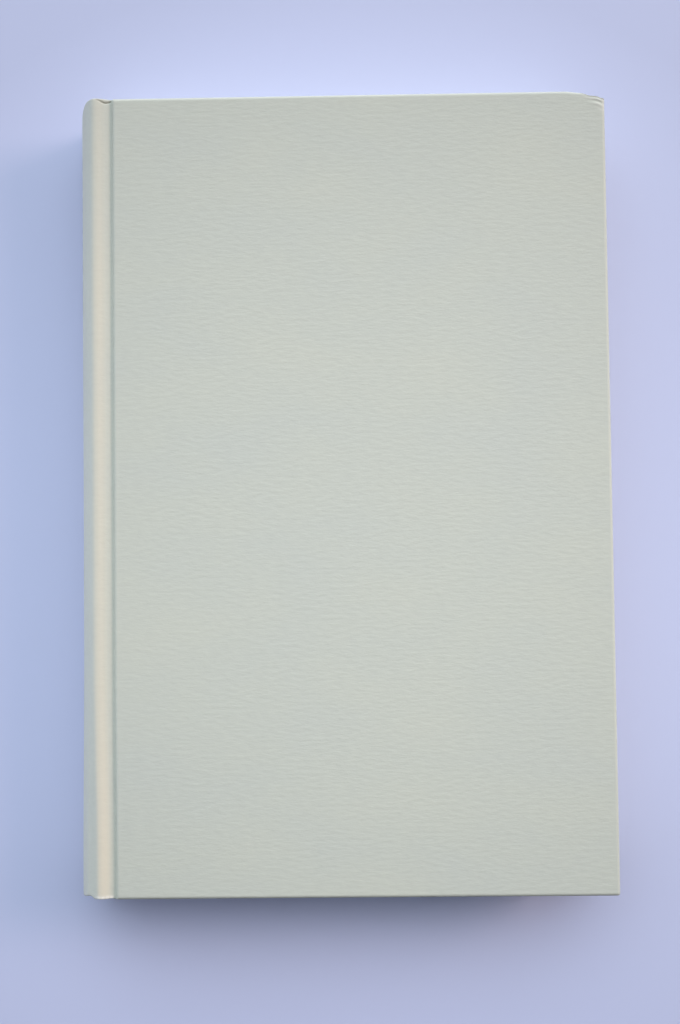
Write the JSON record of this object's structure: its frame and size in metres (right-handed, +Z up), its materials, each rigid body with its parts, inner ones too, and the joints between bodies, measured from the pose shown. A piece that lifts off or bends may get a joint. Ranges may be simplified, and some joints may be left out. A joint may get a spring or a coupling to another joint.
{
  "type": "hardback book",
  "caption": "Closed case-bound hardback book with a rounded spine, French grooves, pale sage linen-grain covering and two covers that open.",
  "frame": {"origin": "under the middle of the closed book, on the surface that its back cover lies on", "axes": "+Y along the spine towards the head, +X from the spine towards the fore-edge, +Z up through the front cover"},
  "size_m": [0.1616, 0.241, 0.026],
  "materials": {
    "cover_sheet": "matte",
    "grey_board": "matte",
    "page_paper": "matte",
    "endpaper": "matte",
    "mull_gauze": "matte",
    "lining_paper": "matte",
    "band_cloth": "satin"
  },
  "bodies": {
    "text_block": {"text_block": "page_paper", "front_flyleaf": "endpaper", "back_flyleaf": "endpaper", "mull": "mull_gauze", "spine_lining": "lining_paper", "head_band": "band_cloth", "tail_band": "band_cloth", "spine_card": "grey_board", "spine_covering": "cover_sheet"},
    "front_cover": {"front_board": "grey_board", "front_covering": "cover_sheet", "front_pastedown": "endpaper", "front_mull_flange": "mull_gauze"},
    "back_cover": {"back_board": "grey_board", "back_covering": "cover_sheet", "back_pastedown": "endpaper", "back_mull_flange": "mull_gauze"}
  },
  "joints": [
    {"name": "front_cover_hinge", "type": "hinge", "parent": "text_block", "child": "front_cover", "pos_m": [-0.07055, 0, 0.0262], "axis": [0, -1, 0], "range_deg": [0, 180]},
    {"name": "back_cover_hinge", "type": "hinge", "parent": "text_block", "child": "back_cover", "pos_m": [-0.07055, 0, -0.0002], "axis": [0, 1, 0], "range_deg": [0, 180]}
  ]
}
